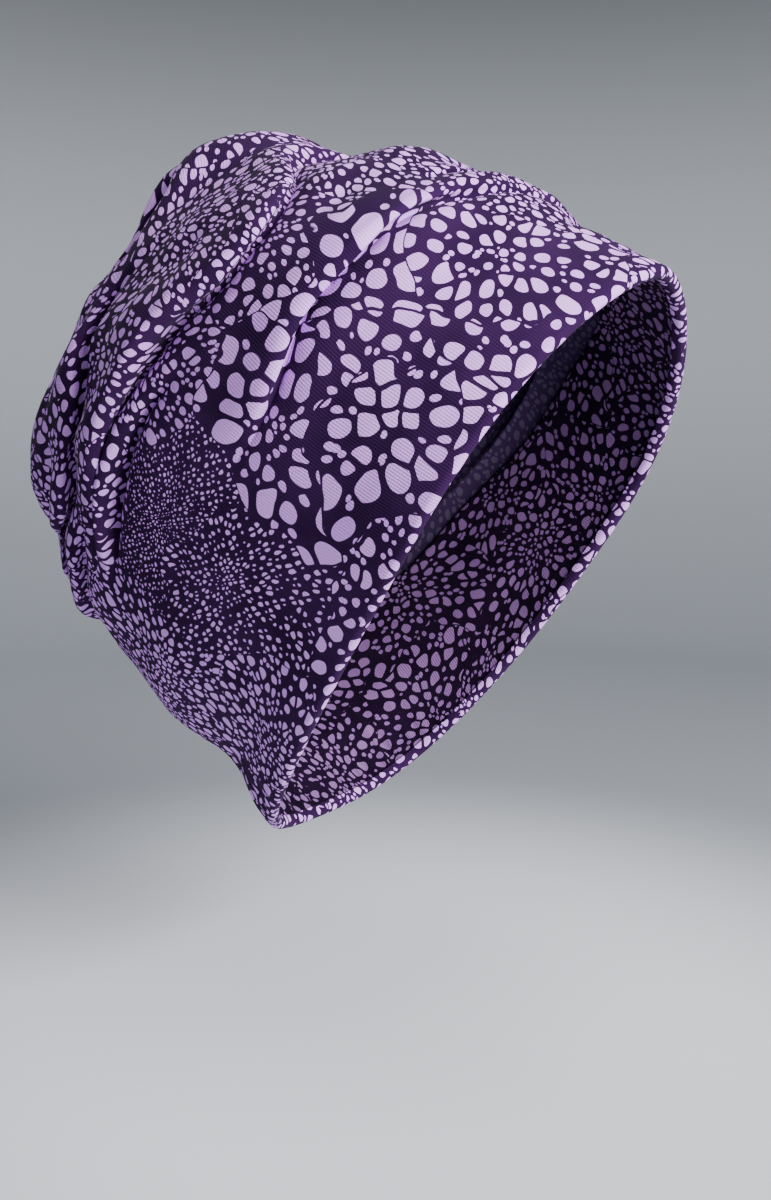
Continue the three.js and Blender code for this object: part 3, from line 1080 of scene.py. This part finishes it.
    def patch_cells(
        self, book: NodeBook, place: Wire, middle: Wire, draws: Outputs, size: Wire
    ) -> tuple[Wire, Wire]:
        """Lays out the fine cells of each patch.

        Args:
            book: The material's nodes.
            place: Print coordinates in metres.
            middle: Middle of the patch.
            draws: Three random numbers of the patch.
            size: Size of the patch's pebbles in metres.

        Returns:
            Place in fine cells, and fine cells per metre, which fall with a power of the
            distance from the patch's middle.
        """
        local = book.vector("SUBTRACT", place, middle)
        turn = draws[0] * 6.283
        local = book.node("ShaderNodeVectorRotate", {"rotation_type": "Z_AXIS"}, {
            "Vector": local,
            "Angle": turn,
        })[0]
        stretch = 1.0 + self.patch_stretch * draws[1]
        xyz = book.parts(local)
        local = book.joined(xyz[0] * stretch, xyz[1], 0.0)
        distance = book.length(local) + self.middle_room
        grade = (distance / (0.5 * self.patch_size)) ** self.outward_growth / size
        spread = book.scaled(local, grade)
        spread = book.vector("ADD", spread, book.joined(draws[2] * 57.0, draws[0] * 91.0, 0.0))
        wobble = book.noise(spread, 0.9, 1.0, colour=True)
        wobble = book.vector("SUBTRACT", wobble, MID_GREY)
        return book.vector("ADD", spread, book.scaled(wobble, self.wobble)), grade

    def fillers(self, book: NodeBook, spread: Wire, size: Wire, gap: Wire) -> Wire:
        """Fills the ground between the pebbles with small dots.

        Args:
            book: The material's nodes.
            spread: Place in fine cells.
            size: Size of the patch's pebbles in metres.
            gap: Gap between pebbles as a share of a fine cell.

        Returns:
            Height of the small dots' cones. A dot's radius is what its middle has free
            beside the nearest pebble, and dots that would be too small are dropped.
        """
        fine = book.cells(
            "F1", book.scaled(spread, self.filler), 1.0, Randomness=self.filler_scatter
        )
        spot = book.scaled(fine["Position"], 1 / self.filler)
        host = book.cells("F1", spot, 1.0, Randomness=self.scatter)
        host_radius = self.radius(book.parts(host["Color"]), size)
        free = host["Distance"] - host_radius - gap * self.filler_gap
        free = book.lower(free, self.filler_most / self.filler)
        least = self.filler_least + self.filler_least_width / size
        dropped = (least - free).above(0.0)
        return free - fine["Distance"] / self.filler - self.filler_drop * dropped

    def radius(self, pick: Outputs, size: Wire) -> Wire:
        """Returns a pebble's radius as a share of its cell, fullest in the largest cells."""
        return self.least + self.spread * pick[2] + self.size_growth * size

    def sizes(self, book: NodeBook, middle: Wire, draws: Outputs) -> Wire:
        """Gives each patch its pebble size.

        Args:
            book: The material's nodes.
            middle: Middle of the patch.
            draws: Three random numbers of the patch.

        Returns:
            Size in metres: from small to medium, a few larger, the largest over the front of
            the wearer's right side and the tiniest behind them.
        """
        pick = draws[1]
        size = self.small + (self.medium - self.small) * pick
        rare = pick.above(self.rare_share)
        size = size + (self.large - self.medium) * self.rare_growth * rare
        away = book.length(book.vector("SUBTRACT", middle, self.front_middle))
        front = 1.0 - away.soft(*FRONT_REACH)
        size = size * (1.0 - front) + self.large * front
        away = book.length(book.vector("SUBTRACT", middle, self.side_middle))
        side = 1.0 - away.soft(*SIDE_REACH)
        return size * (1.0 - side) + self.tiny * side

    def colours(
        self, book: NodeBook, place: Wire, mask: Wire, shade: Wire
    ) -> tuple[Wire, Wire]:
        """Colours the print.

        Args:
            book: The material's nodes.
            place: Print coordinates in metres.
            mask: The pebbles' mask.
            shade: Random number of each pebble.

        Returns:
            Base colour and roughness: both tones vary slightly, the wales darken them, and the
                painted shade factor scales the whole colour down as painted shade.
        """
        cloudy = book.noise(place, 30.0, 3.0)
        if self.side is Side.WRONG:
            colour = book.blend(mask * 0.8, self.wrong_ground, self.wrong_pebble)
        else:
            ground = book.blend(cloudy.soft(0.35, 0.65), self.ground, self.ground_light)
            pebble = book.blend(shade * 0.7 + cloudy * 0.3, self.pebble, self.pebble_light)
            colour = book.blend(mask, ground, pebble)
        wales = self.wales(book, place)
        fibres = book.noise(place, 1500.0, 1.0)
        # The painted shade factor darkens everything as painted shade; the wales and fibres vary
        # the tone of the knit.
        dim = self.painted_shade_factor * (0.86 + 0.08 * wales + 0.12 * fibres)
        colour = book.node("ShaderNodeMix", {"data_type": "RGBA", "blend_type": "MULTIPLY"}, {
            0: 1.0,
            6: colour,
            7: book.joined(dim, dim, dim),
        })[2]
        return colour, self.roughness - 0.06 * mask + 0.04 * (cloudy - 0.5)

    def wales(self, book: NodeBook, place: Wire) -> Wire:
        """Draws the ribs of the knit.

        Args:
            book: The material's nodes.
            place: Print coordinates in metres.

        Returns:
            Height from 0 to 1: a sine across the cloth that sways with a slow noise.
        """
        flow = book.noise(place, 60.0, 2.0)
        across = book.parts(place)[0] + 0.0004 * flow
        return (across * (2 * math.pi / self.wale)).sine() * 0.5 + 0.5

    def knit(self, book: NodeBook, place: Wire) -> Wire:
        """Draws the knit.

        Args:
            book: The material's nodes.
            place: Print coordinates in metres.

        Returns:
            Height: wales crossed by finer courses, with loose fibres.
        """
        xyz = book.parts(place)
        courses = (xyz[1] * (2 * math.pi / self.course)).sine() * 0.5 + 0.5
        fuzz = book.noise(place, 1800.0, 2.0)
        return self.wales(book, place) * 0.7 + courses * 0.25 + fuzz * 0.35


@dataclass
class CrownCloth:
    """The outer cloth of the cap: its face, the rolled rim and its wrong side."""

    form: CapForm
    chart: PrintChart
    columns: int = 288
    front_rows: int = 44
    band_rows: int = 22
    crown_rows: int = 34
    front_gather: float = 1.6
    band_gather: float = 1.5
    crown_gather: float = 1.2
    wall: float = 0.0011
    fold_wall: float = 0.0008
    thin_from: float = 0.16
    thin_at: float = 0.28
    roll_radius: float = 0.0024
    roll_rows: int = 10
    valley_rows: int = 6
    wide_step: int = 2
    flap: np.ndarray = field(default_factory=lambda: HEM_FLAP)

    def degrees(self) -> np.ndarray:
        """Returns the angle of each column."""
        return np.arange(self.columns) * 360 / self.columns - 180

    def rows(self) -> tuple[np.ndarray, int]:
        """Lays out the rows, which follow the valleys.

        Returns:
            Share along of each row and column, from the rim, and the row of the main fold.
        """
        degrees = self.degrees()
        valleys, _ = self.form.valleys(degrees)
        ends = np.concatenate([valleys, np.ones((1, self.columns))])
        steps = np.linspace(0, 1, self.front_rows, endpoint=False)[:, None]
        parts = [(1 - (1 - steps) ** self.front_gather) * valleys[0]]
        border = self.front_rows
        for band, name in enumerate(FOLDS):
            count = self.crown_rows if band == len(FOLDS) - 1 else self.band_rows
            if name == "main":
                border = sum(len(part) for part in parts)
            share = np.linspace(0, 1, count, endpoint=False)[:, None] ** self.band_gather
            if band == len(FOLDS) - 1:
                share = np.linspace(0, 1, count)[:, None] ** self.crown_gather
            parts.append(ends[band] + share * (ends[band + 1] - ends[band]))
        return np.concatenate(parts), border

    def lining_rows(self, total: int) -> np.ndarray:
        """Picks the rows that the wrong side follows.

        Args:
            total: Number of rows of the right side.

        Returns:
            Row numbers: all of them near the valleys, and every second row elsewhere.
        """
        row = np.arange(2, total)
        in_front = row < self.front_rows
        place = np.where(in_front, self.front_rows - row, (row - self.front_rows) % self.band_rows)
        after = self.front_rows + self.band_rows * (len(FOLDS) - 1)
        place = np.where(row >= after, row - after, place)
        near = place < self.valley_rows
        near |= ~in_front & (row < after) & (place >= self.band_rows - self.valley_rows)
        return row[near | (row % self.wide_step == 0) | (row == total - 1)]

    def build(self, finish: bpy.types.Material, lining: bpy.types.Material) -> bpy.types.Object:
        """Builds the outer cloth as one closed wall.

        Args:
            finish: Material of the right side.
            lining: Material of the wrong side.

        Returns:
            The piece. Its lines run down the right side from the closed end, round the
            rim's roll, and up the wrong side, which is the right side moved in by the wall.
        """
        degrees = self.degrees()
        along, border = self.rows()
        around = np.broadcast_to(degrees, along.shape)
        face = self.form.cloth(along, around)
        normals = grid_normals(face)
        keep = self.lining_rows(len(along))
        thin = smooth_step(self.thin_from, self.thin_at, along[keep])[..., None]
        wall = self.wall + (self.fold_wall - self.wall) * thin
        lining_face = face[keep] - normals[keep] * wall
        turn = np.linspace(0, np.pi, self.roll_rows + 1)[1:, None]
        depth = self.roll_radius * (1 - np.cos(turn)) * np.ones((1, self.columns))
        drop = -self.roll_radius * np.sin(turn) * np.ones((1, self.columns))
        depth = np.concatenate([depth, self.flap[:, :1] * np.ones((1, self.columns))])
        drop = np.concatenate([drop, self.flap[:, 1:] * np.ones((1, self.columns))])
        ring = np.broadcast_to(degrees, depth.shape)
        roll = self.form.rim(ring, depth, drop)
        points = np.concatenate([lining_face[::-1], roll[::-1], face])
        band = self.chart.band(face, degrees)
        crown = self.chart.crown(face, degrees)
        roll_run = np.concatenate([
            [0],
            np.cumsum(np.linalg.norm(np.diff(roll, axis=0), axis=2).mean(axis=1)),
        ]) + self.roll_radius * math.pi / self.roll_rows
        roll_print = np.stack(np.broadcast_arrays(band[:1, :, 0], -roll_run[:, None]), axis=-1)
        lower = np.concatenate([band[keep][::-1], roll_print[::-1], band])
        upper = np.concatenate([crown[keep][::-1], np.zeros_like(roll_print), crown])
        lower = self.chart.corners(lower)
        upper = self.chart.corners(upper)
        start = len(keep) + len(roll)
        face_row = np.concatenate([keep[::-1], np.full(len(roll), -1), np.arange(len(face))])
        highest = np.minimum(face_row[:-1], face_row[1:])
        in_crown = (highest >= border)[:, None, None, None]
        prints = np.where(in_crown, upper, lower)
        finish_rows = (np.arange(len(points) - 1) < len(keep)).astype(int)
        LOG.info("outer cloth: %d rows, right side from row %d", len(points), start)
        piece = Surface("crown_cloth").make(
            points, prints, [finish, lining], finish_rows, poles=True, is_loop=False
        )
        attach(piece, "root")
        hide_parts("crown_shell")
        return piece


@dataclass
class BrimFacing:
    """The turned-in band inside the rim, right side towards the head."""

    form: CapForm
    chart: PrintChart
    columns: int = 288
    depth: float = 0.044
    back_gap: float = 0.0016
    wall: float = 0.0010
    rows: int = 34
    rim_depth: float = 0.0044
    foot: float = 0.0006
    roll_length: float = 0.0080
    edge_wave: float = 0.0007
    edge_waves: int = 11
    ease_reach: float = 0.007
    edge_swell: float = 0.35
    edge_run: float = 0.0005

    def build(self, finish: bpy.types.Material) -> bpy.types.Object:
        """Builds the band as a closed loop carried around the cap.

        Args:
            finish: Material of the band.

        Returns:
            The piece. Its face lies the gap and its wall under the outer cloth, and eases
            out to meet the rim's roll.
        """
        degrees = np.arange(self.columns) * 360 / self.columns - 180
        slouch = math.hypot(self.form.slouch_back, self.form.slouch_up)
        share = np.linspace(0, 1, self.rows)[:, None]
        wave = np.sin(self.edge_waves * np.radians(degrees) + 1.1)
        wave = self.edge_wave * wave / slouch
        start = self.foot / slouch
        along = start + share * (self.depth / slouch + wave - start)
        around = np.broadcast_to(degrees, along.shape)
        outer = self.form.cloth(along, around)
        outward, _ = self.form.directions(along, around)
        ease = np.exp(-((along - start) * slouch / self.ease_reach))
        gap = self.back_gap + (self.rim_depth - self.wall - self.back_gap) * ease
        back = outer - outward * gap[..., None]
        face = back - outward * self.wall
        edge = 0.5 * (back[-1:] + face[-1:]) + self.edge_swell * (back[-1:] - back[-2:-1])
        foot = 0.5 * (back[:1] + face[:1]) - self.edge_swell * (back[1:2] - back[:1])
        points = np.concatenate([face[::-1], foot, back, edge])
        run = np.concatenate([
            np.zeros((1, self.columns)),
            np.cumsum(np.linalg.norm(np.diff(face, axis=0), axis=2), axis=0),
        ]) + self.roll_length
        ends = [run[:1] - self.edge_run, run[-1:] + self.edge_run]
        order = [run[::-1], ends[0], run, ends[1], run[-1:]]
        lengths = -np.concatenate(order)
        lengths = np.concatenate([lengths, lengths[:, :1]], axis=1)
        across = self.chart.around(np.append(degrees, degrees[0] + 360))
        chart = np.stack([np.broadcast_to(across, lengths.shape), lengths], axis=-1)
        prints = self.chart.corners(chart)
        finish_rows = np.zeros(len(points), int)
        piece = Surface("brim_facing").make(
            points, prints, [finish], finish_rows, poles=False, is_loop=True
        )
        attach(piece, "root")
        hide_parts("rim_facing")
        LOG.info("brim facing: %d rows", len(points))
        return piece


@dataclass
class Studio:
    """A pale floor that runs up into a plain wall all round, with painted light and shade on them,
    soft lights and the camera.
    """

    # Painted light and shade: the floor is palest near the middle and darker farther out, the wall
    # lighter low down and darkest high up.
    painted_lit_floor: Colour = (0.78, 0.805, 0.86, 1.0)
    painted_shade_floor: Colour = (0.305, 0.325, 0.36, 1.0)
    low_wall: Colour = (0.41, 0.435, 0.465, 1.0)
    painted_shade_high_wall: Colour = (0.140, 0.150, 0.162, 1.0)
    floor_height: float = -0.298
    floor_radius: float = 1.15
    cove_radius: float = 0.35
    wall_height: float = 1.6
    columns: int = 96
    air: Colour = (0.93, 0.96, 1.0, 1.0)
    air_strength: float = 0.26
    lens: float = 40.5
    camera_place: tuple[float, float, float] = (-0.4099, -0.2763, -0.060)
    camera_tilt: float = 81.65
    camera_turn: float = -55.08

    def finish(self) -> bpy.types.Material:
        """Colours the floor and the wall.

        Returns:
            A matte grey with painted light and shade: palest on the floor near the middle as a
            painted pool of light, darker farther out, lighter low on the wall and darkest high up
            as painted shade.
        """
        book = NodeBook("studio_paper")
        place = book.node("ShaderNodeTexCoord", {}, {})["Object"]
        xyz = book.parts(place)
        radius = book.length(book.joined(xyz[0], xyz[1] - 0.03, 0.0))
        # Painted pool of light near the middle, painted shade farther out on the floor and high on
        # the wall.
        colour = book.blend(radius.soft(0.10, 0.36), self.painted_lit_floor, self.painted_shade_floor)
        colour = book.blend(xyz[2].soft(-0.28, 0.05), colour, self.low_wall)
        colour = book.blend(xyz[2].soft(0.06, 0.50), colour, self.painted_shade_high_wall)
        surface = book.node("ShaderNodeBsdfPrincipled", {}, {
            "Base Color": colour,
            "Roughness": 0.75,
            "Specular IOR Level": 0.2,
        })[0]
        book.node("ShaderNodeOutputMaterial", {}, {"Surface": surface})
        return book.material

    def backdrop(self) -> bpy.types.Object:
        """Builds the floor and the wall.

        Returns:
            The stage piece: a profile of floor, quarter circle and wall, turned.
        """
        flat = np.linspace(0.02, self.floor_radius - self.cove_radius, 12)
        bend = np.linspace(0, np.pi / 2, 14)[1:]
        out = self.floor_radius - self.cove_radius + self.cove_radius * np.sin(bend)
        up = self.cove_radius * (1 - np.cos(bend))
        radius = np.concatenate([flat, out, [self.floor_radius]])
        height = np.concatenate([np.zeros(12), up, [self.wall_height]]) + self.floor_height
        turn = np.linspace(0, 2 * np.pi, self.columns, endpoint=False)
        points = np.stack([
            radius[:, None] * np.cos(turn),
            radius[:, None] * np.sin(turn),
            height[:, None] * np.ones(self.columns),
        ], axis=-1)
        rows, columns = points.shape[:2]
        row = np.arange(rows - 1)[:, None] * columns
        column = np.arange(columns)[None, :]
        ahead = (column + 1) % columns
        quads = np.stack(
            [row + column, row + ahead, row + columns + ahead, row + columns + column], axis=-1
        ).reshape(-1, 4)
        mesh = bpy.data.meshes.new("studio_sweep")
        faces = [tuple(quad[::-1]) for quad in quads.tolist()] + [tuple(range(columns))]
        mesh.from_pydata(points.reshape(-1, 3).tolist(), [], faces)
        mesh.polygons.foreach_set("use_smooth", np.ones(len(faces), bool))
        mesh.materials.append(self.finish())
        mesh.update()
        piece = bpy.data.objects.new("studio_sweep", mesh)
        bpy.context.scene.collection.objects.link(piece)
        return piece

    def light(
        self, name: str, place: tuple, aim: tuple, size: float, power: float, tint: tuple
    ) -> None:
        """Adds a wide soft light that fades out evenly to its sides.

        Args:
            name: Name of the light.
            place: Where it is.
            aim: Point that it faces.
            size: Its width.
            power: Its power in watts.
            tint: Its colour.
        """
        lamp = bpy.data.lights.new(name, "SPOT")
        lamp.shadow_soft_size = 0.5 * size
        lamp.spot_size = math.pi
        lamp.spot_blend = 1.0
        lamp.energy = power
        lamp.color = tint
        piece = bpy.data.objects.new(name, lamp)
        bpy.context.scene.collection.objects.link(piece)
        away = np.array(place) - np.array(aim)
        flat = math.hypot(away[0], away[1])
        piece.location = place
        piece.rotation_euler = (math.atan2(flat, away[2]), 0, math.atan2(away[0], -away[1]))

    def lights(self) -> None:
        """Lights the cap from the front, and more weakly from above and behind."""
        self.light("top_light", (-0.15, -0.20, 0.95), (0, 0.02, -0.1), 0.8, 16.0, (1, 1, 1))
        self.light("front_light", (-0.15, -1.01, 0.23), (0, 0, -0.1), 0.8, 132.0, (1, 0.99, 0.98))
        self.light("back_light", (0.35, 1.00, 0.50), (0, 0.05, -0.1), 0.7, 22.0, (1, 1, 1))
        world = bpy.data.worlds.new("studio_air")
        world.use_nodes = True
        world.node_tree.nodes["Background"].inputs["Color"].default_value = self.air
        world.node_tree.nodes["Background"].inputs["Strength"].default_value = self.air_strength
        bpy.context.scene.world = world

    def camera(self) -> None:
        """Adds the camera at the photograph's viewing angle."""
        data = bpy.data.cameras.new("camera")
        data.lens = self.lens
        data.sensor_width = 36.0
        data.clip_start = 0.01
        piece = bpy.data.objects.new("camera", data)
        piece.location = self.camera_place
        piece.rotation_euler = (math.radians(self.camera_tilt), 0, math.radians(self.camera_turn))
        bpy.context.scene.collection.objects.link(piece)
        bpy.context.scene.camera = piece


def main() -> None:
    """Loads the frame, builds the cap's pieces and the studio."""
    logging.basicConfig(level=logging.INFO, format="%(name)s: %(message)s")
    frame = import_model()
    LOG.info("frame nodes: %s", ", ".join(sorted(frame["nodes"])))
    form = CapForm()
    chart = PrintChart(form)
    right = PebblePrint("pebble_jersey").make()
    wrong = PebblePrint("pebble_jersey_wrong_side", side=Side.WRONG).make()
    # The facing is the same print darkened to a third as painted shade for the hollow inside the
    # cap.
    facing = PebblePrint("facing_pebble_jersey", painted_shade_factor=0.32).make()
    cloth = CrownCloth(form, chart).build(right, wrong)
    LOG.info("%s: %d faces", cloth.name, len(cloth.data.polygons))
    band = BrimFacing(form, chart).build(facing)
    LOG.info("%s: %d faces", band.name, len(band.data.polygons))
    studio = Studio()
    studio.backdrop()
    studio.lights()
    studio.camera()


if __name__ == "__main__":
    main()
